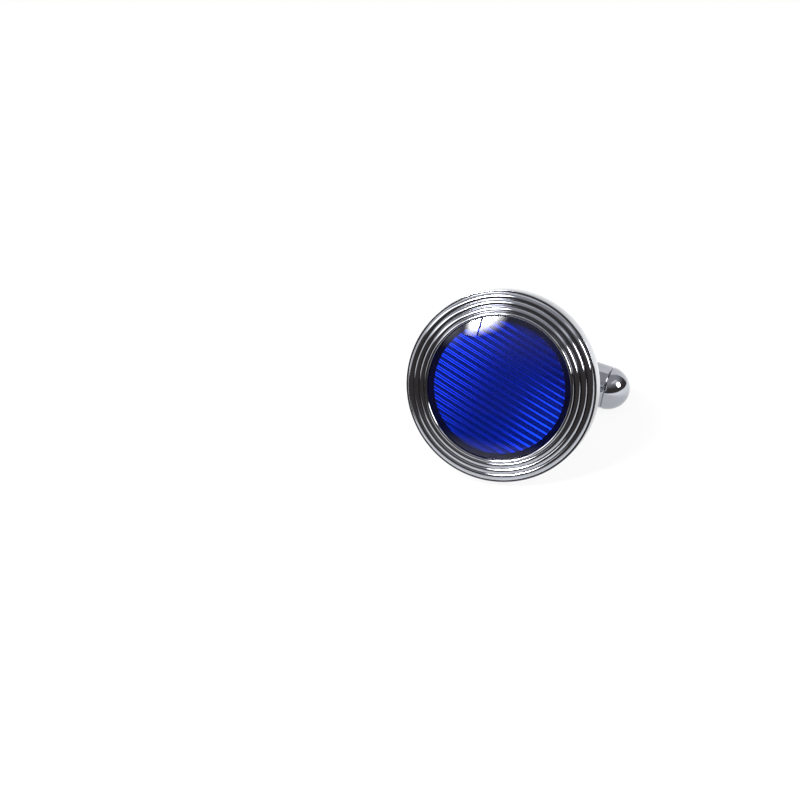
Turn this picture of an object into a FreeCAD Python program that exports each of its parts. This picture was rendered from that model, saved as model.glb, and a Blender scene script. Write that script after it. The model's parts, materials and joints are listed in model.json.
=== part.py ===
import FreeCAD, Part
import math
import os
import re
import Sketcher

# Round cufflink with a stepped border, a ribbed inlay under a clear dome and a swivel bar.
# It is modelled upright on the face's axis and then laid down as it rests on a table.
# Model axes: X along the closed bar, Y along the pivot pin, Z out of the face.
# Z is zero at the back of the face, where the cuff bears.

SIZES = {
    # Face cup, a shell with three beads that step up to a thin inner lip
    "face_diameter": 17.0,
    "rim_wall_height": 2.2,
    "rim_back_round": 0.35,
    "rim_edge_width": 0.17,
    "rim_edge_round": 0.05,
    "rim_bead_width": 0.58,
    "rim_bead_rise": 0.355,
    "rim_bead_crown": 0.2,
    "bead_width": 0.545,
    "bead_step": 0.25,
    "bead_crown": 0.19,
    "lip_width": 0.31,
    "lip_height": 0.2,
    "lip_crown": 0.14,
    "recess_depth": 1.23,
    "floor_thickness": 0.4,
    "shell_wall": 0.9,
    "ledge_width": 0.6,
    # Back plate, pressed into the shell from behind
    "back_plate_thickness": 0.55,
    "seat_clearance": 0.02,
    # Inlay, its bed and the dome over it
    "bed_thickness": 0.12,
    "bed_border": 0.55,
    "inlay_thickness": 0.47,
    "inlay_clearance": 0.02,
    "rib_pitch": 0.58,
    "rib_depth": 0.046,
    "rib_land": 0.05,
    "rib_angle": 166.0,
    "resin_gap": 0.01,
    "dome_edge_drop": 0.2,
    "dome_edge_thickness": 0.05,
    "dome_rise": 0.8,
    # Pad and U-shaped post, riveted to the back plate
    "pad_diameter": 8.0,
    "pad_thickness": 0.7,
    "pad_edge_round": 0.3,
    "post_reach": 14.0,
    "post_width": 4.0,
    "arm_thickness": 0.85,
    "arm_clearance": 0.12,
    "bend_radius": 0.6,
    "rivet_diameter": 1.6,
    "rivet_clearance": 0.02,
    "rivet_head_diameter": 3.0,
    "rivet_head_height": 0.35,
    # Pivot pin, round in the arms and square where the springs bear on it
    "pin_diameter": 1.8,
    "pin_press_clearance": 0.01,
    "pin_square": 1.25,
    "pin_head_diameter": 2.4,
    "pin_head_height": 0.2,
    "swivel_clearance": 0.04,
    # Swivel bar, a tube with a domed cap at each end
    "bar_diameter": 4.0,
    "bar_length": 18.6,
    "bar_bore": 2.9,
    "cap_length": 2.1,
    "cap_spigot_length": 1.2,
    "cap_clearance": 0.01,
    "seam_chamfer": 0.12,
    # Leaf springs inside the bar
    "spring_end_gap": 1.0,
    "spring_width": 1.6,
    "spring_thickness": 0.2,
    "spring_clearance": 0.03,
    # Length by which every cut runs past the solid
    "cut_overrun": 1.0,
}

doc = FreeCAD.newDocument("cufflink")
sheet = doc.addObject("Spreadsheet::Sheet", "Sizes")
for row, (alias, size) in enumerate(SIZES.items(), start=1):
    sheet.set(f"A{row}", alias)
    sheet.set(f"B{row}", str(size))
    sheet.setAlias(f"B{row}", alias)
doc.recompute()

# Heights and radii that several pieces share, each worked out from the sizes
face_radius = "face_diameter / 2"
rim_groove_radius = f"{face_radius} - rim_edge_width - rim_bead_width"
rim_groove_height = "rim_wall_height + rim_bead_rise"
outer_groove_radius = f"{rim_groove_radius} - bead_width"
inner_groove_radius = f"{outer_groove_radius} - bead_width"
inner_groove_height = f"{rim_groove_height} + 2 * bead_step"
recess_radius = f"{inner_groove_radius} - lip_width"
lip_spring = f"{inner_groove_height} + lip_height"
lip_crest = f"{lip_spring} + lip_crown"
recess_floor = f"{lip_crest} - recess_depth"
seat_radius = f"{face_radius} - shell_wall"
bed_radius = f"{recess_radius} - seat_clearance"
pocket_radius = f"{recess_radius} - bed_border"
inlay_seat = f"{recess_floor} + bed_thickness"
inlay_top = f"{inlay_seat} + inlay_thickness"
inlay_radius = f"{pocket_radius} - inlay_clearance"
dome_base = f"{inlay_top} + resin_gap"
dome_edge = f"{lip_crest} - dome_edge_drop"
bed_rim = f"{dome_edge} - dome_edge_thickness - resin_gap"
rivet_hole_radius = "rivet_diameter / 2 + rivet_clearance"
post_base_front = "-pad_thickness"
post_base_back = "-pad_thickness - arm_thickness"
arm_inside = "bar_diameter / 2 + arm_clearance"
arm_outside = f"{arm_inside} + arm_thickness"
tube_half = "bar_length / 2 - cap_length"


def bound(text):
    """Expression with each size's alias led by the name of the sheet."""
    return re.sub(r"\b([a-z]+(?:_[a-z]+)+)\b", r"Sizes.\1", text)


def number(text):
    """Present value of an expression, in millimetres or degrees."""
    return float(sheet.evalExpression(bound(text)))


def crown_radius(start, end, crown):
    """Radius of the arc between two corners that stands up by crown at its middle."""
    run = f"({end[0]} - ({start[0]}))"
    rise = f"({end[1]} - ({start[1]}))"
    return f"({run}^2 + {rise}^2) / (8 * {crown}) + {crown} / 2"


def new_body(label):
    body = doc.addObject("PartDesign::Body", label)
    body.Label = label
    return body


def new_sketch(body, name, plane):
    sketch = body.newObject("Sketcher::SketchObject", name)
    origin_plane = next(item for item in body.Origin.OriginFeatures if item.Role == plane)
    sketch.AttachmentSupport = [(origin_plane, "")]
    sketch.MapMode = "FlatFace"
    return sketch


def bind_point(sketch, geometry, place, corner):
    """Hold a point of the sketch at a corner, which is a pair of expressions."""
    for kind, axis, text in (("DistanceX", -2, corner[0]), ("DistanceY", -1, corner[1])):
        if text == "0":
            sketch.addConstraint(Sketcher.Constraint("PointOnObject", geometry, place, axis))
        else:
            index = sketch.addConstraint(Sketcher.Constraint(kind, -1, 1, geometry, place, number(text)))
            sketch.setExpression(f"Constraints[{index}]", bound(text))


def draw_outline(sketch, corners, arcs):
    """Closed outline through corners listed anticlockwise.

    arcs maps a side's number to its radius and to whether it bulges outwards.
    """
    points = [FreeCAD.Vector(number(across), number(up), 0) for across, up in corners]
    ends = []
    for side, start in enumerate(points):
        end = points[(side + 1) % len(points)]
        if side not in arcs:
            geometry = sketch.addGeometry(Part.LineSegment(start, end))
            ends.append((geometry, 1, 2))
            continue
        radius_text, outwards = arcs[side]
        radius = number(radius_text)
        chord = end - start
        outside = FreeCAD.Vector(chord.y, -chord.x, 0).normalize()
        bulge = outside if outwards else -outside
        depth = math.sqrt(radius**2 - (chord.Length / 2) ** 2)
        centre = (start + end) / 2 - bulge * depth
        first, last = (start, end) if outwards else (end, start)
        angles = [math.atan2(point.y - centre.y, point.x - centre.x) for point in (first, last)]
        circle = Part.Circle(centre, FreeCAD.Vector(0, 0, 1), radius)
        geometry = sketch.addGeometry(Part.ArcOfCircle(circle, *angles))
        ends.append((geometry, 1, 2) if outwards else (geometry, 2, 1))
        index = sketch.addConstraint(Sketcher.Constraint("Radius", geometry, radius))
        sketch.setExpression(f"Constraints[{index}]", bound(radius_text))
    for side, (geometry, start_place, end_place) in enumerate(ends):
        following, following_start, _ = ends[(side + 1) % len(ends)]
        joint = Sketcher.Constraint("Coincident", geometry, end_place, following, following_start)
        sketch.addConstraint(joint)
        bind_point(sketch, geometry, start_place, corners[side])


def outline_sketch(body, name, plane, corners, arcs=None):
    sketch = new_sketch(body, name, plane)
    draw_outline(sketch, corners, arcs or {})
    return sketch


def circle_sketch(body, name, plane, radius, centre=("0", "0")):
    sketch = new_sketch(body, name, plane)
    place = FreeCAD.Vector(number(centre[0]), number(centre[1]), 0)
    geometry = sketch.addGeometry(Part.Circle(place, FreeCAD.Vector(0, 0, 1), number(radius)))
    index = sketch.addConstraint(Sketcher.Constraint("Radius", geometry, number(radius)))
    sketch.setExpression(f"Constraints[{index}]", bound(radius))
    bind_point(sketch, geometry, 3, centre)
    return sketch


def add_revolution(body, sketch, axis="V_Axis"):
    turned = body.newObject("PartDesign::Revolution", f"{body.Label}_turned")
    turned.Profile = sketch
    turned.ReferenceAxis = (sketch, [axis])
    turned.Angle = 360


def add_pad(body, sketch, length, side_type="Symmetric"):
    pad = body.newObject("PartDesign::Pad", f"{body.Label}_pad")
    pad.Profile = sketch
    pad.SideType = side_type
    pad.setExpression("Length", bound(length))


def add_cut(body, sketch, name, length=None):
    """Cut to both sides of the sketch, right through the solid if no length is given."""
    cut = body.newObject("PartDesign::Pocket", name)
    cut.Profile = sketch
    cut.SideType = "Symmetric"
    if length is None:
        cut.Type = "ThroughAll"
    else:
        cut.setExpression("Length", bound(length))
    return cut


def make_turned(label, corners, arcs=None, plane="XZ_Plane", axis="V_Axis"):
    body = new_body(label)
    add_revolution(body, outline_sketch(body, f"{label}_profile", plane, corners, arcs), axis)
    return body


def make_face_cup():
    corners = [
        ("0", f"{recess_floor} - floor_thickness"),
        (f"{seat_radius} - ledge_width", f"{recess_floor} - floor_thickness"),
        (f"{seat_radius} - ledge_width", "back_plate_thickness"),
        (seat_radius, "back_plate_thickness"),
        (seat_radius, "0"),
        (f"{face_radius} - rim_back_round", "0"),
        (face_radius, "rim_back_round"),
        (face_radius, "rim_wall_height - rim_edge_round"),
        (f"{face_radius} - rim_edge_round", "rim_wall_height"),
        (f"{face_radius} - rim_edge_width", "rim_wall_height"),
        (rim_groove_radius, rim_groove_height),
        (outer_groove_radius, f"{rim_groove_height} + bead_step"),
        (inner_groove_radius, inner_groove_height),
        (inner_groove_radius, lip_spring),
        (recess_radius, lip_spring),
        (recess_radius, recess_floor),
        ("0", recess_floor),
    ]
    arcs = {
        5: ("rim_back_round", True),
        7: ("rim_edge_round", True),
        9: (crown_radius(corners[9], corners[10], "rim_bead_crown"), True),
        10: (crown_radius(corners[10], corners[11], "bead_crown"), True),
        11: (crown_radius(corners[11], corners[12], "bead_crown"), True),
        13: (crown_radius(corners[13], corners[14], "lip_crown"), True),
    }
    return make_turned("face_cup", corners, arcs)


def make_back_plate():
    corners = [
        (rivet_hole_radius, "0"),
        (f"{seat_radius} - seat_clearance", "0"),
        (f"{seat_radius} - seat_clearance", "back_plate_thickness"),
        (rivet_hole_radius, "back_plate_thickness"),
    ]
    return make_turned("back_plate", corners)


def make_inlay_bed():
    corners = [
        ("0", recess_floor),
        (bed_radius, recess_floor),
        (bed_radius, bed_rim),
        (pocket_radius, inlay_top),
        (pocket_radius, inlay_seat),
        ("0", inlay_seat),
    ]
    return make_turned("inlay_bed", corners)


def make_ribbed_inlay():
    """Disc with parallel V-grooves, modelled with its ribs along Y and its back at zero."""
    body = new_body("ribbed_inlay")
    add_pad(body, circle_sketch(body, "inlay_disc", "XY_Plane", inlay_radius), "inlay_thickness", "One side")
    count = f"floor(2 * ({inlay_radius}) / rib_pitch)"
    first = f"-({count} - 1) / 2 * rib_pitch"
    half_groove = "(rib_pitch - rib_land) / 2"
    corners = [
        (first, "inlay_thickness - rib_depth"),
        (f"{first} + {half_groove}", "inlay_thickness"),
        (f"{first} + {half_groove}", "inlay_thickness + cut_overrun"),
        (f"{first} - {half_groove}", "inlay_thickness + cut_overrun"),
        (f"{first} - {half_groove}", "inlay_thickness"),
    ]
    sketch = outline_sketch(body, "rib_groove", "XZ_Plane", corners)
    groove = add_cut(body, sketch, "first_groove")
    grooves = body.newObject("PartDesign::LinearPattern", "grooves")
    grooves.Originals = [groove]
    grooves.Direction = (sketch, ["H_Axis"])
    grooves.setExpression("Length", bound(f"({count} - 1) * rib_pitch"))
    grooves.setExpression("Occurrences", bound(count))
    body.Tip = grooves
    return body


def make_clear_dome():
    corners = [
        ("0", dome_base),
        (pocket_radius, dome_base),
        (bed_radius, f"{bed_rim} + resin_gap"),
        (bed_radius, dome_edge),
        ("0", f"{dome_edge} + dome_rise"),
    ]
    radius = f"(({bed_radius})^2 + dome_rise^2) / (2 * dome_rise)"
    return make_turned("clear_dome", corners, {3: (radius, True)})


def make_post_pad():
    corners = [
        (rivet_hole_radius, post_base_front),
        ("pad_diameter / 2 - pad_edge_round", post_base_front),
        ("pad_diameter / 2", f"{post_base_front} + pad_edge_round"),
        ("pad_diameter / 2", "0"),
        (rivet_hole_radius, "0"),
    ]
    return make_turned("post_pad", corners, {1: ("pad_edge_round", True)})


def make_swivel_post():
    """U-shaped strip on the pad, with round arm ends about the pivot pin."""
    body = new_body("swivel_post")
    arm_end = "-post_reach - post_width / 2 - cut_overrun"
    outer_bend = "bend_radius + arm_thickness"
    outer_top = f"{post_base_front} - ({outer_bend})"
    inner_top = f"{post_base_back} - bend_radius"
    corners = [
        (arm_outside, arm_end),
        (arm_outside, outer_top),
        (f"{arm_outside} - ({outer_bend})", post_base_front),
        (f"-({arm_outside}) + {outer_bend}", post_base_front),
        (f"-({arm_outside})", outer_top),
        (f"-({arm_outside})", arm_end),
        (f"-({arm_inside})", arm_end),
        (f"-({arm_inside})", inner_top),
        (f"-({arm_inside}) + bend_radius", post_base_back),
        (f"{arm_inside} - bend_radius", post_base_back),
        (arm_inside, inner_top),
        (arm_inside, arm_end),
    ]
    arcs = {
        1: (outer_bend, True),
        3: (outer_bend, True),
        7: ("bend_radius", False),
        9: ("bend_radius", False),
    }
    add_pad(body, outline_sketch(body, "post_profile", "YZ_Plane", corners, arcs), "post_width")
    waste = "post_width / 2 + cut_overrun"
    waste_end = f"-post_reach - ({waste}) - cut_overrun"
    end_corners = [
        ("post_width / 2", "-post_reach"),
        ("0", "-post_reach - post_width / 2"),
        ("-post_width / 2", "-post_reach"),
        (f"-({waste})", "-post_reach"),
        (f"-({waste})", waste_end),
        (waste, waste_end),
        (waste, "-post_reach"),
    ]
    end_arcs = {0: ("post_width / 2", False), 1: ("post_width / 2", False)}
    end_sketch = outline_sketch(body, "arm_end_waste", "XZ_Plane", end_corners, end_arcs)
    add_cut(body, end_sketch, "round_arm_ends")
    pin_hole = "pin_diameter / 2 + pin_press_clearance"
    pin_sketch = circle_sketch(body, "pin_hole", "XZ_Plane", pin_hole, ("0", "-post_reach"))
    add_cut(body, pin_sketch, "pin_holes")
    add_cut(body, circle_sketch(body, "rivet_hole", "XY_Plane", rivet_hole_radius), "rivet_hole_cut")
    return body


def make_post_rivet():
    head_top = f"{post_base_back} - rivet_head_height"
    shank = "rivet_diameter / 2"
    head = "rivet_head_diameter / 2"
    corners = [
        ("0", head_top),
        (head, post_base_back),
        (shank, post_base_back),
        (shank, "back_plate_thickness"),
        (head, "back_plate_thickness"),
        ("0", "back_plate_thickness + rivet_head_height"),
    ]
    radius = f"(({head})^2 + rivet_head_height^2) / (2 * rivet_head_height)"
    return make_turned("post_rivet", corners, {0: (radius, True), 4: (radius, True)})


def make_pivot_pin():
    """Pin about its own centre, with a low domed head outside each arm."""
    shank = "pin_diameter / 2"
    head = "pin_head_diameter / 2"
    corners = [
        ("0", f"-({arm_outside}) - pin_head_height"),
        (head, f"-({arm_outside})"),
        (shank, f"-({arm_outside})"),
        (shank, arm_outside),
        (head, arm_outside),
        ("0", f"{arm_outside} + pin_head_height"),
    ]
    radius = f"(({head})^2 + pin_head_height^2) / (2 * pin_head_height)"
    body = make_turned("pivot_pin", corners, {0: (radius, True), 4: (radius, True)}, "XY_Plane")
    sketch = new_sketch(body, "pin_flats", "XZ_Plane")
    for half in ("pin_diameter", "pin_square / 2"):
        square = [(f"-({half})", f"-({half})"), (half, f"-({half})"), (half, half), (f"-({half})", half)]
        draw_outline(sketch, square, {})
    add_cut(body, sketch, "square_middle", "bar_bore - 2 * spring_clearance")
    return body


def make_toggle_tube():
    outer = "bar_diameter / 2"
    half = f"({tube_half})"
    corners = [
        (f"-{half}", "bar_bore / 2"),
        (half, "bar_bore / 2"),
        (half, f"{outer} - seam_chamfer"),
        (f"{half} - seam_chamfer", outer),
        (f"-{half} + seam_chamfer", outer),
        (f"-{half}", f"{outer} - seam_chamfer"),
    ]
    body = make_turned("toggle_tube", corners, axis="H_Axis")
    hole = circle_sketch(body, "swivel_hole", "XZ_Plane", "pin_diameter / 2 + swivel_clearance")
    add_cut(body, hole, "swivel_holes")
    return body


def make_toggle_cap(label):
    """Domed end with a spigot, modelled upright with its joint face at zero."""
    dome = doc.addObject("Part::Ellipsoid", f"{label}_dome")
    dome.setExpression("Radius1", bound("cap_length"))
    dome.setExpression("Radius2", bound("bar_diameter / 2"))
    dome.setExpression("Radius3", bound("bar_diameter / 2"))
    dome.Angle1 = 0
    spigot = doc.addObject("Part::Cylinder", f"{label}_spigot")
    spigot.setExpression("Radius", bound("bar_bore / 2 - cap_clearance"))
    spigot.setExpression("Height", bound("cap_spigot_length"))
    spigot.setExpression("Placement.Base.z", bound("-cap_spigot_length"))
    cap = doc.addObject("Part::Fuse", label)
    cap.Base = dome
    cap.Tool = spigot
    cap.Label = label
    return cap


def make_detent_spring(label):
    """Bent leaf whose flat middle bears on the pin and whose ends reach the wall of the bore."""
    flat = "pin_square / 2"
    end = f"({tube_half} - cap_spigot_length - spring_end_gap)"
    low = "pin_square / 2 + spring_clearance"
    high = "sqrt(bar_bore^2 - spring_width^2) / 2 - spring_clearance"
    corners = [
        (f"-{end}", f"{high} - spring_thickness"),
        (f"-{flat}", low),
        (flat, low),
        (end, f"{high} - spring_thickness"),
        (end, high),
        (flat, f"{low} + spring_thickness"),
        (f"-{flat}", f"{low} + spring_thickness"),
        (f"-{end}", high),
    ]
    body = new_body(label)
    add_pad(body, outline_sketch(body, f"{label}_profile", "XZ_Plane", corners), "spring_width")
    return body


def rest_angles():
    """Backward tilt and sideways roll, in radians, of the cufflink lying on a table.

    It touches the table with the back edge of the rim, the round end of the lower arm
    and the right end of the closed bar. Each pass brings two of these level in turn.
    """
    tube_end = number(tube_half)
    end_radius = number("bar_diameter / 2")
    end_length = number("cap_length")
    reach = number("post_reach")
    arm_drop = number(arm_outside)
    arm_round = number("post_width / 2")
    rim_round = number("rim_back_round")
    rim_ring = number(face_radius) - rim_round

    def heights(tilt, roll):
        """Lowest point of the rim, the arm and the bar's end along the table's upward normal."""
        up_x = -math.sin(roll) * math.cos(tilt)
        up_y = math.cos(roll) * math.cos(tilt)
        up_z = math.sin(tilt)
        rim = rim_round * up_z - rim_ring * math.cos(tilt) - rim_round
        arm = -arm_drop * up_y - reach * up_z - arm_round * math.hypot(up_x, up_z)
        end = -math.hypot(end_length * up_x, end_radius * math.hypot(up_y, up_z))
        bar = tube_end * up_x - reach * up_z + end
        return rim, arm, bar

    def level(difference):
        """Angle between none and an eighth of a turn at which a falling difference is nil."""
        low, high = 0.0, math.pi / 4
        for _ in range(60):
            middle = (low + high) / 2
            low, high = (middle, high) if difference(middle) > 0 else (low, middle)
        return low

    tilt = roll = 0.0
    for _ in range(40):
        tilt = level(lambda angle: heights(angle, roll)[1] - heights(angle, roll)[0])
        roll = level(lambda angle: heights(tilt, angle)[2] - heights(tilt, angle)[1])
    return tilt, roll, -min(heights(tilt, roll))


def turn(axis, degrees):
    return FreeCAD.Placement(FreeCAD.Vector(), FreeCAD.Rotation(FreeCAD.Vector(*axis), degrees))


def shift(*offset):
    return FreeCAD.Placement(FreeCAD.Vector(*offset), FreeCAD.Rotation())


# Pieces that stay still, modelled in the face's own axes
fixed = [
    make_face_cup(),
    make_back_plate(),
    make_inlay_bed(),
    make_clear_dome(),
    make_post_pad(),
    make_swivel_post(),
    make_post_rivet(),
]
inlay = make_ribbed_inlay()

# Pieces about the pivot, modelled from the middle of the pin
pin = make_pivot_pin()
tube = make_toggle_tube()
caps = {1: make_toggle_cap("toggle_cap_right"), -1: make_toggle_cap("toggle_cap_left")}
springs = {0: make_detent_spring("detent_spring_front"), 180: make_detent_spring("detent_spring_rear")}

# Lay the cufflink down, with its origin on the table below the middle of its box
tilt, roll, lift = rest_angles()
laid = turn((1, 0, 0), 90 - math.degrees(tilt)) * turn((0, 0, 1), -math.degrees(roll))
pivot = laid * shift(0, 0, -number("post_reach"))
places = [(piece, laid) for piece in fixed]
places.append((inlay, laid * shift(0, 0, number(inlay_seat)) * turn((0, 0, 1), number("rib_angle") - 90)))
places += [(pin, pivot), (tube, pivot)]
for side, cap in caps.items():
    places.append((cap, pivot * shift(side * number(tube_half), 0, 0) * turn((0, 1, 0), side * 90)))
for half_turn, spring in springs.items():
    places.append((spring, pivot * turn((1, 0, 0), half_turn)))
for piece, place in places:
    piece.Placement = place
doc.recompute()
box = FreeCAD.BoundBox()
for piece, _ in places:
    box.add(piece.Shape.optimalBoundingBox(False, False))
origin = shift(-box.Center.x, -box.Center.y, -box.ZMin)
for piece, place in places:
    piece.Placement = origin * place
doc.recompute()

# Nothing is written unless every object and every piece is sound
for item in doc.Objects:
    if {"Invalid", "Error"} & set(item.State):
        raise RuntimeError(f"{item.Label} failed: {item.State}")
for piece, _ in places:
    if piece.Shape.isNull() or not piece.Shape.isValid() or len(piece.Shape.Solids) != 1:
        raise RuntimeError(f"{piece.Label} is not one sound solid")

os.makedirs("parts", exist_ok=True)
for piece, _ in places:
    piece.Shape.exportStep(f"parts/{piece.Label}.step")
    print(f"{piece.Label}: {piece.Shape.Volume:.3f} cubic millimetres")
centre = (origin * pivot).Base
axis = (origin * pivot).Rotation.multVec(FreeCAD.Vector(0, 1, 0))
print(f"tilt {math.degrees(tilt):.3f}, roll {math.degrees(roll):.3f} degrees, lift {lift:.3f}, box {box}")
print(f"pivot {centre}, axis {axis}")
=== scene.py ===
import bpy
import bmesh
import json
import math
from mathutils import Matrix, Vector


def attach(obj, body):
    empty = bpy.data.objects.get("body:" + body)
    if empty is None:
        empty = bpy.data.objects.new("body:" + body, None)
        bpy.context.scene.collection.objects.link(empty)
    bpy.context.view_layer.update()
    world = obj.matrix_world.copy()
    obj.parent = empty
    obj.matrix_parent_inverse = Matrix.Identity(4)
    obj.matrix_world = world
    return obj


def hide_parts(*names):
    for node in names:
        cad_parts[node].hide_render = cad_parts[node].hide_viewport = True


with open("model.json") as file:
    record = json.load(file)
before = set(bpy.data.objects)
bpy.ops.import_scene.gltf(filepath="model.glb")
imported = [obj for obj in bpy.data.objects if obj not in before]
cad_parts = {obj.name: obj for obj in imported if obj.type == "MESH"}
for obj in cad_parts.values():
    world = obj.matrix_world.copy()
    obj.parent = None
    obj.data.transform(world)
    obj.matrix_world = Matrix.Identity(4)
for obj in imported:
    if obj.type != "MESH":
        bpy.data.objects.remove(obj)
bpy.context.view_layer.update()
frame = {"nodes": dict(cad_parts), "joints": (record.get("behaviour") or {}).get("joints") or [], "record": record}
mm = 0.001                                     # pieces are drawn in millimetres and placed in metres
scene = bpy.context.scene

# The cufflink's own axes as it lies: along the closed bar, along the pin, out of the face
mount = frame["record"]["mounts"][0]
hinge = frame["joints"][0]
faceBack = Vector(mount["pos_m"])
pinMiddle = Vector(hinge["pos_m"])
outward = -Vector(mount["axis"])
alongPin = Vector(hinge["axis"])
alongBar = alongPin.cross(outward)
lyingTurn = Matrix((alongBar, alongPin, outward)).transposed().to_4x4()
facePlace = Matrix.Translation(faceBack) @ lyingTurn
pinPlace = Matrix.Translation(pinMiddle) @ lyingTurn
postReach = (faceBack - pinMiddle).length / mm
print("frame loaded, post reach", round(postReach, 3))


# Shader nodes, written as sums on wires
class Wire:
    def __init__(self, shader, socket):
        self.shader = shader
        self.socket = socket

    def sum(self, operation, first, second):
        return self.shader.add("Math", {"operation": operation}, {0: first, 1: second})

    def __add__(self, other):
        return self.sum("ADD", self, other)

    def __radd__(self, other):
        return self.sum("ADD", other, self)

    def __sub__(self, other):
        return self.sum("SUBTRACT", self, other)

    def __rsub__(self, other):
        return self.sum("SUBTRACT", other, self)

    def __mul__(self, other):
        return self.sum("MULTIPLY", self, other)

    def __rmul__(self, other):
        return self.sum("MULTIPLY", other, self)

    def __pow__(self, other):
        return self.sum("POWER", self, other)

    def largest(self, other):
        return self.sum("MAXIMUM", self, other)

    def distance(self, other):
        return self.sum("ABSOLUTE", self - other, 0)


class Shader:
    def __init__(self, tree):
        self.tree = tree
        tree.nodes.clear()

    def add(self, kind, settings=None, sockets=None, output=0):
        node = self.tree.nodes.new("ShaderNode" + kind)
        for name, value in (settings or {}).items():
            setattr(node, name, value)
        for name, value in (sockets or {}).items():
            if isinstance(value, Wire):
                self.tree.links.new(value.socket, node.inputs[name])
            else:
                node.inputs[name].default_value = value
        return Wire(self, node.outputs[output] if node.outputs else None)

    def parts(self, vector):
        node = self.add("SeparateXYZ", None, {"Vector": vector}).socket.node
        return [Wire(self, socket) for socket in node.outputs]

    def rays(self, *names):
        node = self.add("LightPath").socket.node
        return [Wire(self, node.outputs[name]) for name in names]

    def fade(self, value, low, high, start=0, end=1):
        names = {"Value": value, "From Min": low, "From Max": high, "To Min": start, "To Max": end}
        return self.add("MapRange", {"interpolation_type": "SMOOTHSTEP"}, names)

    def blend(self, factor, first, second):
        sockets = {"Factor": factor, 6: first, 7: second}            # a Mix node's colours, by number
        return self.add("Mix", {"data_type": "RGBA"}, sockets, 2)

    def noise(self, vector, scale, detail=3, roughness=0.55):
        sockets = {"Vector": vector, "Scale": scale, "Detail": detail, "Roughness": roughness}
        return self.add("TexNoise", None, sockets)

    def spot(self):
        return self.add("TexCoord", output="Object")

    def faceSpot(self):
        back = facePlace.inverted()
        sockets = {"Location": back.to_translation(), "Rotation": back.to_euler()}
        return self.add("Mapping", None, {"Vector": self.spot(), **sockets})

    def bump(self, height, distance, strength=1):
        return self.add("Bump", None, {"Height": height, "Strength": strength, "Distance": distance})

    def surface(self, settings):
        closure = self.add("BsdfPrincipled", None, settings)
        self.add("OutputMaterial", None, {"Surface": closure})


def newMaterial(name):
    material = bpy.data.materials.new(name)
    material.use_nodes = True
    return material, Shader(material.node_tree)


plateLook = {
    "bright": (0.46, 0.475, 0.52, 1), "worn": (0.41, 0.42, 0.45, 1), "grooveDarkColour": (0.10, 0.09, 0.085, 1),
    "rough": 0.03, "waveScale": 1500, "waveDepth": 0.0000018,
    "smudgeScale": 420, "smudgeFrom": (0.42, 0.72), "smudgeRough": 0.06,
    "scuffScale": 9000, "scuffFrom": (0.62, 0.74), "scuffRough": 0.05,
    "scuffTurn": (0.4, 0.2, 0.9), "scuffStretch": (1, 0.06, 1),
    "grooveWidth": 0.045, "grooveDarkScale": 1600, "grooveDarkLeast": 0.45, "grooveDarkMore": 0.4, "grooveDarkRough": 0.12,
}


def polishedPlate(name, grooves=()):
    # Mirror-polished plating, a little wavy, with smudges, hairline scuffs, and darker, rougher patches along the
    # grooves
    look = plateLook
    material, shader = newMaterial(name)
    spot = shader.faceSpot()
    smudge = shader.fade(shader.noise(spot, look["smudgeScale"], detail=4), *look["smudgeFrom"])
    stretched = shader.add("Mapping", None, {
        "Vector": spot, "Rotation": look["scuffTurn"], "Scale": look["scuffStretch"]})
    scuff = shader.fade(shader.noise(stretched, look["scuffScale"], detail=2), *look["scuffFrom"])
    colour = shader.blend(smudge, look["bright"], look["worn"])
    rough = look["rough"] + smudge * look["smudgeRough"] + scuff * look["scuffRough"]
    if grooves:
        # Darker, patchy and rougher along each groove
        across, up = shader.parts(spot)[:2]
        radius = (across * across + up * up) ** 0.5
        grooveDark = 0
        for groove in grooves:
            near = shader.fade(radius.distance(groove * mm), 0, look["grooveWidth"] * mm, 1, 0)
            grooveDark = near.largest(grooveDark)
        patchy = look["grooveDarkLeast"] + look["grooveDarkMore"] * shader.noise(spot, look["grooveDarkScale"])
        colour = shader.blend(grooveDark * patchy, colour, look["grooveDarkColour"])
        rough = rough + grooveDark * look["grooveDarkRough"]
    wave = shader.bump(shader.noise(spot, look["waveScale"], detail=2), look["waveDepth"])
    shader.surface({"Base Color": colour, "Metallic": 1, "Roughness": rough, "Normal": wave})
    return material


lacquerLook = {
    "thin": (0.006, 0.045, 0.80, 1), "flankBlue": (0.004, 0.036, 0.62, 1), "borderShade": (0.002, 0.004, 0.045, 1),
    "metal": 0.8, "rough": 0.05, "patchRough": 0.04, "patchScale": 500, "patchShare": 0.2,
    "line": (0.72, 0.97), "borderRough": 0.4, "grainScale": 5200, "grainDepth": 0.0000012,
}


def blueLacquer(name, low=None, high=None):
    # Transparent blue over bright metal, painted lighter on crests and groove bottoms as painted highlight lines,
    # darker on the flanks between, and near-black on the border as painted shade
    look = lacquerLook
    material, shader = newMaterial(name)
    spot = shader.faceSpot()
    # Without ribs the border is near-black navy and not metal: painted shade for the dark ring round the ribs
    colour = look["borderShade"]
    rough = look["borderRough"]
    metal = 0
    if low is not None:                                  # ribs between these two heights
        patch = shader.noise(spot, look["patchScale"])
        rough = look["rough"] + look["patchRough"] * patch
        metal = look["metal"]
        height = shader.parts(spot)[2]
        half = (high - low) / 2 * mm
        edge = height.distance((high + low) / 2 * mm)
        # Painted highlight: crests and groove bottoms lighter where the glints run, flanks darker, mixed with
        # random patches of tone
        flank = shader.fade(edge, *[share * half for share in look["line"]], 1, 0)
        depth = look["patchShare"] * patch + (1 - look["patchShare"]) * flank
        colour = shader.blend(depth, look["thin"], look["flankBlue"])
    grain = shader.noise(spot, look["grainScale"], detail=2)
    shader.surface({
        "Base Color": colour, "Metallic": metal, "Roughness": rough, "Specular IOR Level": 0,
        "Normal": shader.bump(grain, look["grainDepth"]),
    })
    return material


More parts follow.
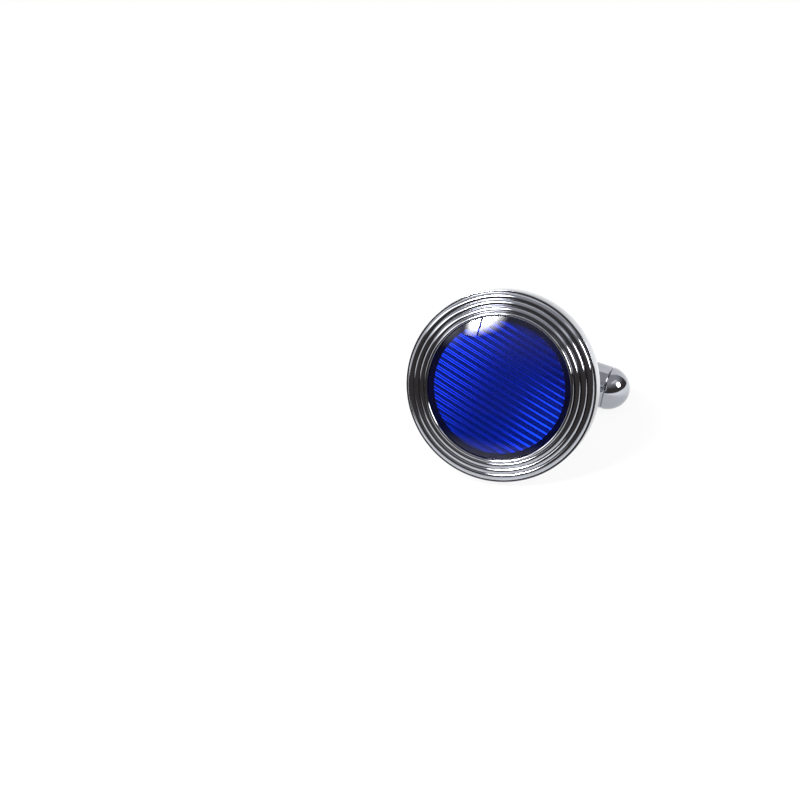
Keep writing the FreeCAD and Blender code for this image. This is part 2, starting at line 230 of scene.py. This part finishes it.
resinLook = {
    "tint": (0.90, 0.93, 1, 1), "rough": 0.0, "bend": 1.5, "coat": 0.5,
    "markScale": 260, "markFrom": (0.5, 0.75), "markRough": 0.006,
}


def clearResin(name):
    # Clear cast resin, polished, with faint finger marks
    look = resinLook
    material, shader = newMaterial(name)
    mark = shader.fade(shader.noise(shader.spot(), look["markScale"], detail=4), *look["markFrom"])
    shader.surface({
        "Base Color": look["tint"], "Roughness": look["rough"] + mark * look["markRough"],
        "Transmission Weight": 1, "IOR": look["bend"],
        "Coat Weight": look["coat"], "Coat Roughness": 0, "Coat IOR": look["bend"],
    })
    return material


steelLook = {
    "pale": (0.56, 0.56, 0.57, 1), "dark": (0.4, 0.4, 0.42, 1), "rough": 0.3, "grainRough": 0.15,
    "grainScale": 4000, "grainStretch": (0.04, 1, 1), "grainDepth": 0.000004, "grainStrength": 0.4,
}


def springSteel(name):
    # Rolled strip with a grain along its length
    look = steelLook
    material, shader = newMaterial(name)
    stretched = shader.add("Mapping", None, {"Vector": shader.faceSpot(), "Scale": look["grainStretch"]})
    grain = shader.noise(stretched, look["grainScale"])
    shader.surface({
        "Base Color": shader.blend(grain, look["pale"], look["dark"]), "Metallic": 1,
        "Roughness": look["rough"] + look["grainRough"] * grain,
        "Normal": shader.bump(grain, look["grainDepth"], look["grainStrength"]),
    })
    return material


# A pen that draws a profile in the plane of radius and height, corner by corner
class Pen:
    def __init__(self, radius, height):
        self.bm = bmesh.new()
        self.first = self.tip = self.bm.verts.new((radius, 0, height))

    def line(self, *corners):
        for radius, height in corners:
            self.tip = bmesh.ops.extrude_vert_indiv(self.bm, verts=[self.tip])["verts"][0]
            self.tip.co = (radius, 0, height)
        return self

    # An arc that stands off its chord by bulge, to the right hand of its way
    def arc(self, radius, height, bulge, steps):
        end = Vector((radius, 0, height))
        chord = end - self.tip.co
        right = Vector((chord.z, 0, -chord.x)).normalized()
        half = chord.length / 2
        reach = (half**2 + bulge**2) / (2 * bulge)
        centre = self.tip.co + chord / 2 + right * (bulge - reach)
        turn = -4 * math.atan2(bulge, half)
        made = bmesh.ops.spin(self.bm, geom=[self.tip], cent=centre, axis=(0, 1, 0), angle=turn, steps=steps)
        self.tip = pick(made["geom_last"], bmesh.types.BMVert)[0]
        self.tip.co = end
        return self

    # A quarter round of the given size, up to its far end
    def quarter(self, radius, height, size, steps):
        return self.arc(radius, height, size * (1 - math.sqrt(0.5)), steps)

    def close(self):
        self.bm.edges.new((self.tip, self.first))
        return self

    def turned(self, steps):
        geometry = self.bm.verts[:] + self.bm.edges[:]
        bmesh.ops.spin(
            self.bm, geom=geometry, cent=(0, 0, 0), axis=(0, 0, 1), angle=2 * math.pi, steps=steps,
            use_merge=True)
        return self.bm


creaseAngle = math.radians(32)
mergeDistance = 0.00002                                  # in drawn millimetres
faceSteps, barSteps, rivetSteps = 288, 192, 128           # round the face, the bar and the rivets


def pick(items, kind):
    return [item for item in items if isinstance(item, kind)]


def widen(bm, halfWidth):
    # Sweeps a drawn line to both sides, as far as halfWidth says for each point
    near = bm.verts[:]
    far = pick(bmesh.ops.extrude_edge_only(bm, edges=bm.edges[:])["geom"], bmesh.types.BMVert)
    for verts, side in ((near, -1), (far, 1)):
        for vert in verts:
            vert.co.y = side * halfWidth(vert.co)
    bmesh.ops.remove_doubles(bm, verts=bm.verts, dist=mergeDistance)


def halfChord(radius, away):
    return math.sqrt(max(radius**2 - away**2, 0))


def domeBulge(radius, rise):
    # How far half the profile of a dome stands off its chord
    chordSquare = radius**2 + rise**2
    reach = chordSquare / (2 * rise)
    return reach - math.sqrt(reach**2 - chordSquare / 4)


def settle(bm, name, node, body, material, place):
    # Merge, face outwards, crease the real edges and put the piece where its CAD node is
    bmesh.ops.remove_doubles(bm, verts=bm.verts, dist=mergeDistance)
    bmesh.ops.dissolve_degenerate(bm, edges=bm.edges, dist=mergeDistance)
    bmesh.ops.recalc_face_normals(bm, faces=bm.faces)
    for face in bm.faces:
        face.smooth = True
    for edge in bm.edges:
        edge.smooth = edge.is_manifold and edge.calc_face_angle() < creaseAngle
    bmesh.ops.transform(bm, matrix=place @ Matrix.Scale(mm, 4), verts=bm.verts)
    mesh = bpy.data.meshes.new(name)
    bm.to_mesh(mesh)
    bm.free()
    mesh.materials.append(material)
    piece = bpy.data.objects.new(name, mesh)
    scene.collection.objects.link(piece)
    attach(piece, body)
    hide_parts(node)
    print("made", name, len(mesh.polygons), "faces")


upToBar = Matrix.Rotation(math.pi / 2, 4, "Y")            # lays a turned piece along the bar
upToPin = Matrix.Rotation(-math.pi / 2, 4, "X")           # and along the pin

# Face cup: heights rise from the back of the face, three beads step up to the lip
cup = {
    "radius": 8.5, "wallTop": 2.2, "backRound": 0.35, "edgeWidth": 0.17, "edgeRound": 0.05,
    "rimBeadWidth": 0.58, "rimBeadRise": 0.355, "rimBeadCrown": 0.2,
    "beadWidth": 0.545, "beadStep": 0.25, "beadCrown": 0.19,
    "lipWidth": 0.31, "lipHeight": 0.2, "lipCrown": 0.14, "recessDepth": 1.23, "floor": 0.4,
    "wall": 0.9, "ledge": 0.6, "seatDepth": 0.55,
    "backSteps": 8, "edgeSteps": 6, "rimBeadSteps": 18, "beadSteps": 16, "lipSteps": 14,
}
cup["rimGroove"] = cup["radius"] - cup["edgeWidth"] - cup["rimBeadWidth"]
cup["outerGroove"] = cup["rimGroove"] - cup["beadWidth"]
cup["innerGroove"] = cup["outerGroove"] - cup["beadWidth"]
cup["recess"] = cup["innerGroove"] - cup["lipWidth"]
cup["seat"] = cup["radius"] - cup["wall"]
cup["rimGrooveTop"] = cup["wallTop"] + cup["rimBeadRise"]
cup["innerGrooveTop"] = cup["rimGrooveTop"] + 2 * cup["beadStep"]
cup["lipSpring"] = cup["innerGrooveTop"] + cup["lipHeight"]
cup["lipCrest"] = cup["lipSpring"] + cup["lipCrown"]
cup["recessFloor"] = cup["lipCrest"] - cup["recessDepth"]


def makeFaceCup(material):
    c = cup
    under = c["recessFloor"] - c["floor"]
    pen = Pen(0, under)
    pen.line((c["seat"] - c["ledge"], under), (c["seat"] - c["ledge"], c["seatDepth"]))
    pen.line((c["seat"], c["seatDepth"]), (c["seat"], 0), (c["radius"] - c["backRound"], 0))
    pen.quarter(c["radius"], c["backRound"], c["backRound"], c["backSteps"])
    pen.line((c["radius"], c["wallTop"] - c["edgeRound"]))
    pen.quarter(c["radius"] - c["edgeRound"], c["wallTop"], c["edgeRound"], c["edgeSteps"])
    pen.line((c["radius"] - c["edgeWidth"], c["wallTop"]))
    pen.arc(c["rimGroove"], c["rimGrooveTop"], c["rimBeadCrown"], c["rimBeadSteps"])
    pen.arc(c["outerGroove"], c["rimGrooveTop"] + c["beadStep"], c["beadCrown"], c["beadSteps"])
    pen.arc(c["innerGroove"], c["innerGrooveTop"], c["beadCrown"], c["beadSteps"])
    pen.line((c["innerGroove"], c["lipSpring"]))
    pen.arc(c["recess"], c["lipSpring"], c["lipCrown"], c["lipSteps"])
    pen.line((c["recess"], c["recessFloor"]), (0, c["recessFloor"]))
    settle(pen.turned(faceSteps), "faceCup", "face_cup", "cufflink", material, facePlace)


# Inlay: a bed with a sloping border, the ribbed disc in it and the dome over both
bed = {"seatGap": 0.02, "thickness": 0.12, "border": 0.55}
bed["radius"] = cup["recess"] - bed["seatGap"]
bed["pocket"] = cup["recess"] - bed["border"]
bed["seat"] = cup["recessFloor"] + bed["thickness"]
ribs = {
    "thickness": 0.47, "gap": 0.02, "pitch": 0.58, "depth": 0.046, "angle": 166, "steps": 12, "endSteps": 14,
}
ribs["top"] = bed["seat"] + ribs["thickness"]
ribs["radius"] = bed["pocket"] - ribs["gap"]
dome = {"gap": 0.01, "sink": 0.02, "edgeDrop": 0.2, "edgeThickness": 0.05, "rise": 0.8, "steps": 48}
dome["edge"] = cup["lipCrest"] - dome["edgeDrop"]
dome["bedRim"] = dome["edge"] - dome["edgeThickness"] - dome["gap"]


def makeInlayBed(material):
    pen = Pen(0, cup["recessFloor"])
    pen.line((bed["radius"], cup["recessFloor"]), (bed["radius"], dome["bedRim"]))
    pen.line((bed["pocket"], ribs["top"]), (bed["pocket"], bed["seat"]), (0, bed["seat"]))
    settle(pen.turned(faceSteps), "inlayBed", "inlay_bed", "cufflink", material, facePlace)


def makeRibbedInlay(material):
    r = ribs
    count = math.floor(2 * r["radius"] / r["pitch"])
    ribbed = count / 2 * r["pitch"]                      # half the width that whole ribs take
    flatAngle = math.acos(ribbed / r["radius"])
    ends = [r["radius"] * math.cos(flatAngle * step / r["endSteps"]) for step in range(1, r["endSteps"])]
    pen = Pen(-r["radius"], r["top"])
    pen.line(*[(-end, r["top"]) for end in ends])
    for step in range(count * r["steps"] + 1):           # rounded grooves, one wave after another
        turn = 2 * math.pi * step / r["steps"]
        across = step / r["steps"] * r["pitch"] - ribbed
        pen.line((across, r["top"] - r["depth"] * (1 - math.cos(turn)) / 2))
    pen.line(*[(end, r["top"]) for end in reversed(ends)], (r["radius"], r["top"]))
    bm = pen.bm
    widen(bm, lambda point: halfChord(r["radius"], point.x))          # every rib ends on the disc's edge
    rim = [edge for edge in bm.edges if edge.is_boundary]
    wall = bmesh.ops.extrude_edge_only(bm, edges=rim)["geom"]
    for vert in pick(wall, bmesh.types.BMVert):
        vert.co.z = bed["seat"]
    bmesh.ops.contextual_create(bm, geom=pick(wall, bmesh.types.BMEdge))
    turn = Matrix.Rotation(math.radians(r["angle"] - 90), 4, "Z")
    settle(bm, "ribbedInlay", "ribbed_inlay", "cufflink", material, facePlace @ turn)


def makeClearDome(material):
    d = dome
    sink = d["sink"]                                     # the resin wets what it lies on and leaves no air
    sunk = ribs["top"] - ribs["depth"] - sink
    pen = Pen(0, sunk)
    pen.line((bed["pocket"] + sink, sunk), (bed["pocket"] + sink, ribs["top"] - sink))
    pen.line((bed["radius"], d["bedRim"] - sink), (bed["radius"], d["edge"]))
    pen.arc(0, d["edge"] + d["rise"], domeBulge(bed["radius"], d["rise"]), d["steps"])
    settle(pen.turned(faceSteps), "clearDome", "clear_dome", "cufflink", material, facePlace)


# Swivel bar: a tube with a domed cap pressed into each end
tube = {"radius": 2.0, "bore": 1.45, "barLength": 18.6, "seam": 0.12, "seamSteps": 6}
cap = {"length": 2.1, "spigotLength": 1.2, "spigotGap": 0.01, "seamRound": 0.09, "domeSteps": 40}
tube["half"] = tube["barLength"] / 2 - cap["length"]


def makeToggleTube(material):
    t = tube
    pen = Pen(t["bore"], -t["half"])
    pen.line((t["radius"] - t["seam"], -t["half"]))
    pen.quarter(t["radius"], t["seam"] - t["half"], t["seam"], t["seamSteps"])
    pen.line((t["radius"], t["half"] - t["seam"]))
    pen.quarter(t["radius"] - t["seam"], t["half"], t["seam"], t["seamSteps"])
    pen.line((t["bore"], t["half"]))
    bm = pen.close().turned(barSteps)
    settle(bm, "toggleTube", "toggle_tube", "toggle", material, pinPlace @ upToBar)


def makeToggleCap(name, node, side, material):
    # A half ellipsoid whose edge is eased into the seam, on its spigot
    c = cap
    spigot = tube["bore"] - c["spigotGap"]
    pen = Pen(0, -c["spigotLength"])
    pen.line((spigot, -c["spigotLength"]), (spigot, 0), (tube["radius"] - c["seamRound"], 0))
    start = math.asin(c["seamRound"] / c["length"])
    turns = [start + (math.pi / 2 - start) * step / c["domeSteps"] for step in range(c["domeSteps"] + 1)]
    pen.line(*[(tube["radius"] * math.cos(turn), c["length"] * math.sin(turn)) for turn in turns])
    outTurn = Matrix.Rotation(side * math.pi / 2, 4, "Y")
    place = pinPlace @ Matrix.Translation((side * tube["half"] * mm, 0, 0)) @ outTurn
    settle(pen.turned(barSteps), name, node, "toggle", material, place)


# Back of the face, with the pad and the U-shaped post riveted to it
disc = {"seatGap": 0.02, "bevel": 0.05}
pad = {"radius": 4.0, "thickness": 0.7, "round": 0.3, "roundSteps": 10}
post = {
    "width": 4.0, "thickness": 0.85, "armGap": 0.12, "bend": 0.6, "edgeBevel": 0.09,
    "sharpAngle": 60, "bevelSteps": 3, "endSteps": 14, "bendSteps": 12,
}
post["armOutside"] = tube["radius"] + post["armGap"] + post["thickness"]
rivet = {"radius": 0.8, "holeGap": 0.02, "headRadius": 1.5, "headHeight": 0.35, "headSteps": 16}
rivet["hole"] = rivet["radius"] + rivet["holeGap"]
pin = {"radius": 0.9, "headRadius": 1.2, "headHeight": 0.2, "headSteps": 16}


def makeBackPlate(material):
    edge = cup["seat"] - disc["seatGap"]
    top = cup["seatDepth"]
    pen = Pen(rivet["hole"], 0)
    pen.line((edge - disc["bevel"], 0), (edge, disc["bevel"]), (edge, top), (rivet["hole"], top))
    settle(pen.close().turned(faceSteps), "backPlate", "back_plate", "cufflink", material, facePlace)


def makePostPad(material):
    p = pad
    pen = Pen(rivet["hole"], -p["thickness"])
    pen.line((p["radius"] - p["round"], -p["thickness"]))
    pen.quarter(p["radius"], p["round"] - p["thickness"], p["round"], p["roundSteps"])
    pen.line((p["radius"], 0), (rivet["hole"], 0))
    settle(pen.close().turned(barSteps), "postPad", "post_pad", "cufflink", material, facePlace)


def makeSwivelPost(material):
    # The strip is drawn along its outer face, widened to both sides and given its thickness
    p = post
    arm = p["armOutside"]
    half = p["width"] / 2
    front = -pad["thickness"]
    outerBend = p["bend"] + p["thickness"]
    tips = [half * math.cos(math.pi / 2 * step / p["endSteps"]) for step in range(p["endSteps"])]
    downwards = [-postReach - tip for tip in tips] + [-postReach]
    pen = Pen(arm, downwards[0])
    pen.line(*[(arm, height) for height in downwards[1:]])
    pen.line((arm, front - outerBend))
    pen.quarter(arm - outerBend, front, outerBend, p["bendSteps"])
    pen.line((outerBend - arm, front))
    pen.quarter(-arm, front - outerBend, outerBend, p["bendSteps"])
    pen.line(*[(-arm, height) for height in reversed(downwards)])
    bm = pen.bm
    widen(bm, lambda point: halfChord(half, max(-postReach - point.z, 0)))   # half rounds about the pin
    bmesh.ops.recalc_face_normals(bm, faces=bm.faces)
    top = max(bm.faces, key=lambda face: face.calc_center_median().z)
    if top.normal.z < 0:
        bmesh.ops.reverse_faces(bm, faces=bm.faces)
    bmesh.ops.solidify(bm, geom=bm.faces[:], thickness=p["thickness"])
    bmesh.ops.recalc_face_normals(bm, faces=bm.faces)
    sharpAngle = math.radians(p["sharpAngle"])
    sharp = [edge for edge in bm.edges if edge.is_manifold and edge.calc_face_angle() > sharpAngle]
    bmesh.ops.bevel(
        bm, geom=sharp, offset=p["edgeBevel"], segments=p["bevelSteps"], profile=0.5, affect="EDGES",
        material=-1, clamp_overlap=True)
    turn = Matrix.Rotation(math.pi / 2, 4, "Z")
    settle(bm, "swivelPost", "swivel_post", "cufflink", material, facePlace @ turn)


def riveted(size, low, high):
    # A shank between two heights with a domed head at each end
    head = size["headRadius"]
    rise = size["headHeight"]
    bulge = domeBulge(head, rise)
    pen = Pen(0, low - rise)
    pen.arc(head, low, bulge, size["headSteps"])
    pen.line((size["radius"], low), (size["radius"], high), (head, high))
    pen.arc(0, high + rise, bulge, size["headSteps"])
    return pen.turned(rivetSteps)


def makePostRivet(material):
    bm = riveted(rivet, -pad["thickness"] - post["thickness"], cup["seatDepth"])
    settle(bm, "postRivet", "post_rivet", "cufflink", material, facePlace)


def makePivotPin(material):
    bm = riveted(pin, -post["armOutside"], post["armOutside"])
    settle(bm, "pivotPin", "pivot_pin", "cufflink", material, pinPlace @ upToPin)


grooveRadii = (
    cup["radius"] - cup["edgeWidth"], cup["rimGroove"], cup["outerGroove"], cup["innerGroove"])
plate = polishedPlate("polishedPlate")
cupPlate = polishedPlate("polishedCup", grooveRadii)
ribBlue = blueLacquer("blueRibs", ribs["top"] - ribs["depth"], ribs["top"])
bedBlue = blueLacquer("blueBorder")
resin = clearResin("clearResin")
steel = springSteel("springSteel")
print("finishes made")

makeFaceCup(cupPlate)
makeInlayBed(bedBlue)
makeRibbedInlay(ribBlue)
makeClearDome(resin)
makeBackPlate(plate)
makePostPad(plate)
makeSwivelPost(plate)
makePostRivet(plate)
makePivotPin(plate)
makeToggleTube(plate)
makeToggleCap("toggleCapRight", "toggle_cap_right", 1, plate)
makeToggleCap("toggleCapLeft", "toggle_cap_left", -1, plate)
for spring in ("detent_spring_front", "detent_spring_rear"):           # shown as their CAD nodes
    node = frame["nodes"][spring]
    node.data.materials.clear()
    node.data.materials.append(steel)
print("pieces made")


# Camera: a long lens, placed by where the face's outline stands in the 800 by 799 picture
view = {
    "azimuth": 11.5, "elevation": 26.5, "distance": 260, "aimHeight": 1.3, "sensor": 36, "clipStart": 0.01,
    "picture": (800, 799), "faceMiddle": (502.9, 385.2), "facePixels": 193.3,
}


def direction(azimuth, elevation):
    a, e = math.radians(azimuth), math.radians(elevation)
    return Vector((math.sin(a) * math.cos(e), -math.cos(a) * math.cos(e), math.sin(e)))


def makeCamera():
    v = view
    wide, tall = v["picture"]
    aim = facePlace @ Vector((0, 0, v["aimHeight"] * mm))
    back = direction(v["azimuth"], v["elevation"])
    data = bpy.data.cameras.new("camera")
    data.sensor_width = v["sensor"]
    data.lens = v["facePixels"] / wide * v["sensor"] * v["distance"] / (2 * cup["radius"])
    data.shift_x = (wide / 2 - v["faceMiddle"][0]) / wide
    data.shift_y = (v["faceMiddle"][1] - tall / 2) / wide
    data.clip_start = v["clipStart"]
    camera = bpy.data.objects.new("camera", data)
    camera.location = aim + back * v["distance"] * mm
    camera.rotation_euler = (-back).to_track_quat("-Z", "Y").to_euler()
    scene.collection.objects.link(camera)
    scene.camera = camera


# Studio: a white table and tent, with a dark room and card that only gloss and glass see
studio = {
    "tableSize": 4, "tableDrop": 0.00002, "tableColour": (0.9, 0.9, 0.9, 1), "tableWhite": 0.88,
    "glossWhite": 0.45, "tableFront": (-0.035, -0.004), "frontWhite": 0.03,
    "roomRadius": 0.36, "roomSteps": 64, "openWidth": 116, "openTop": 77,
    "wall": (0.065, 0.057, 0.056, 1), "ceiling": (0.44, 0.44, 0.465, 1), "ceilingFrom": (0.1, 0.3),
    "cardPlace": (-0.017, -0.008), "cardLength": 0.009, "cardHeight": 0.008,
    "tentWhite": 1, "tentLight": 0.55,
}
black, white = (0, 0, 0, 1), (1, 1, 1, 1)


def seenWhite(shader):
    # One where the ray comes from the camera or by way of gloss or glass
    camera, glossy, through = shader.rays("Is Camera Ray", "Is Glossy Ray", "Is Transmission Ray")
    return camera.largest(glossy).largest(through)


def stageMesh(bm, name, material):
    mesh = bpy.data.meshes.new(name)
    bm.to_mesh(mesh)
    bm.free()
    mesh.materials.append(material)
    item = bpy.data.objects.new(name, mesh)
    scene.collection.objects.link(item)
    return item


def makeTable():
    # White to the camera, with the object's shadow, and dark towards the front where gloss sees it
    s = studio
    material, shader = newMaterial("whiteTable")
    along = shader.parts(shader.spot())[1]
    camera = shader.rays("Is Camera Ray")[0]
    seen = seenWhite(shader)
    bright = shader.fade(along, *s["tableFront"], s["frontWhite"], 1).largest(camera)
    dimmed = shader.blend(bright, black, s["tableColour"])
    matte = shader.add("BsdfDiffuse", None, {"Color": shader.blend(seen, s["tableColour"], dimmed)})
    glow = shader.add("Emission", None, {"Color": white, "Strength": bright})
    share = (seen * s["glossWhite"]).largest(camera * s["tableWhite"])
    mixed = shader.add("MixShader", None, {0: share, 1: matte, 2: glow})
    shader.add("OutputMaterial", None, {"Surface": mixed})
    bm = bmesh.new()
    bmesh.ops.create_grid(bm, x_segments=1, y_segments=1, size=s["tableSize"] / 2)
    bmesh.ops.translate(bm, verts=bm.verts, vec=(0, 0, -s["tableDrop"]))
    stageMesh(bm, "whiteTable", material)


def darkStage(bm, name):
    # Dark low down and paler above, for gloss and glass alone
    material, shader = newMaterial(name)
    up = shader.parts(shader.spot())[2]
    colour = shader.blend(shader.fade(up, *studio["ceilingFrom"]), studio["wall"], studio["ceiling"])
    glow = shader.add("Emission", None, {"Color": colour, "Strength": 1})
    shader.add("OutputMaterial", None, {"Surface": glow})
    item = stageMesh(bm, name, material)
    item.visible_camera = item.visible_diffuse = item.visible_shadow = False


def makeDarkRoom():
    # A dark half ball over the table, open to the white sweep behind
    s = studio
    bm = bmesh.new()
    bmesh.ops.create_uvsphere(
        bm, u_segments=s["roomSteps"], v_segments=s["roomSteps"], radius=s["roomRadius"])
    whole = bm.verts[:] + bm.edges[:] + bm.faces[:]
    bmesh.ops.bisect_plane(bm, geom=whole, plane_co=(0, 0, 0), plane_no=(0, 0, -1), clear_outer=True)
    behind = direction(view["azimuth"] + 180, 0).xy
    top = s["roomRadius"] * math.sin(math.radians(s["openTop"]))
    halfOpen = math.radians(s["openWidth"] / 2)
    middles = {face: face.calc_center_median() for face in bm.faces}
    opening = [face for face, middle in middles.items()
               if middle.z < top and middle.xy.angle(behind) < halfOpen]
    bmesh.ops.delete(bm, geom=opening, context="FACES")
    darkStage(bm, "darkRoom")


def makeDarkCard():
    # A small card standing on the table to the left, for a dark reflection in the rim
    s = studio
    bm = bmesh.new()
    bmesh.ops.create_grid(bm, x_segments=1, y_segments=1, size=0.5)      # a unit square, to be scaled
    bmesh.ops.scale(bm, verts=bm.verts, vec=(s["cardHeight"], s["cardLength"], 1))
    bmesh.ops.rotate(bm, verts=bm.verts, cent=(0, 0, 0), matrix=Matrix.Rotation(math.pi / 2, 3, "Y"))
    bmesh.ops.translate(bm, verts=bm.verts, vec=(*s["cardPlace"], s["cardHeight"] / 2))
    darkStage(bm, "darkCard")


def makeWorld():
    world = bpy.data.worlds.new("tent")
    scene.world = world
    world.use_nodes = True
    shader = Shader(world.node_tree)
    seen = seenWhite(shader)
    light, shown = [
        shader.add("Background", None, {"Color": white, "Strength": studio[name]})
        for name in ("tentLight", "tentWhite")]
    mixed = shader.add("MixShader", None, {0: seen, 1: light, 2: shown})
    shader.add("OutputWorld", None, {"Surface": mixed})


# Softboxes by direction from the face, size in degrees, brightness, and the shares of each over which they
# fade at the sides, at the lower edge and at the top. Some show only in gloss, some only through the resin
softboxes = {
    "window": {
        "azimuth": -21.5, "elevation": 41, "wide": 18, "tall": 24, "bright": 90, "shows": "gloss",
        "sides": (0.3, 0.7), "low": (0.04, 0.62), "top": 0.1, "slant": 0.38, "bar": 0.38},
    "leftRibs": {
        "azimuth": 9, "elevation": 23, "wide": 16, "tall": 19, "bright": 5.5, "shows": "through",
        "sides": (0.3, 0.2), "low": (0, 0.2), "top": 0.2},
    "rightRibs": {
        "azimuth": -10, "elevation": 51, "wide": 21, "tall": 19, "bright": 3.8, "shows": "through",
        "sides": (0.2, 0.3), "low": (0, 0.2), "top": 0.2},
    "leftCard": {
        "azimuth": -54, "elevation": 34, "wide": 46, "tall": 26, "bright": 4,
        "sides": (0.4, 0.4), "low": (0, 0.4), "top": 0.4},
    "leftFill": {
        "azimuth": -88, "elevation": 15, "wide": 46, "tall": 56, "bright": 1.2,
        "sides": (0.4, 0.4), "low": (0.2, 0.35), "top": 0.3},
    "rightFill": {
        "azimuth": 66, "elevation": 48, "wide": 50, "tall": 16, "bright": 0.7,
        "sides": (0.4, 0.4), "low": (0, 0.4), "top": 0.4},
    "rightSide": {
        "azimuth": 79, "elevation": 27, "wide": 25, "tall": 25, "bright": 9, "shape": "ELLIPSE",
        "sides": (0.2, 0.2), "low": (0, 0.2), "top": 0.2},
}
softbox = {"distance": 0.32, "barWidth": 0.025, "middle": 0.5}


def fadeSoftbox(data, box):
    # Fades towards the edges, with a dark glazing bar where it has one
    shader = Shader(data.node_tree)
    spot = shader.add("NewGeometry", output="Parametric")
    across, up = shader.parts(spot)[:2]                  # both run from 0 to 1
    left, right = box["sides"]
    lifted = up - (across - softbox["middle"]) * box.get("slant", 0)
    strength = shader.fade(lifted, *box["low"]) * shader.fade(up, 1 - box["top"], 1, 1, 0)
    strength = strength * shader.fade(across, 0, left) * shader.fade(across, 1 - right, 1, 1, 0)
    if box.get("shows") == "through":                    # matte bounces under the resin would only add noise
        bounces = shader.rays("Diffuse Depth")[0]
        strength = strength * (1 - shader.fade(bounces, 0, 1))
    if "bar" in box:
        away = across.distance(box["bar"])
        strength = strength * shader.fade(away, softbox["barWidth"] / 2, softbox["barWidth"])
    glow = shader.add("Emission", None, {"Strength": strength})
    shader.add("OutputLight", None, {"Surface": glow})


def makeSoftboxes():
    reach = softbox["distance"]
    for name, box in softboxes.items():
        data = bpy.data.lights.new(name, "AREA")
        data.shape = box.get("shape", "RECTANGLE")
        data.size = 2 * reach * math.tan(math.radians(box["wide"] / 2))
        data.size_y = 2 * reach * math.tan(math.radians(box["tall"] / 2))
        data.energy = box["bright"] * math.pi * data.size * data.size_y
        data.use_nodes = True
        fadeSoftbox(data, box)
        way = direction(box["azimuth"], box["elevation"])
        lamp = bpy.data.objects.new(name, data)
        lamp.location = faceBack + way * reach
        lamp.rotation_euler = (-way).to_track_quat("-Z", "Y").to_euler()
        lamp.visible_camera = False
        lamp.visible_glossy = box.get("shows") != "through"
        lamp.visible_transmission = box.get("shows") != "gloss"
        scene.collection.objects.link(lamp)


makeCamera()
makeTable()
makeDarkRoom()
makeDarkCard()
makeWorld()
makeSoftboxes()
scene.view_settings.view_transform = "Standard"
print("studio made")
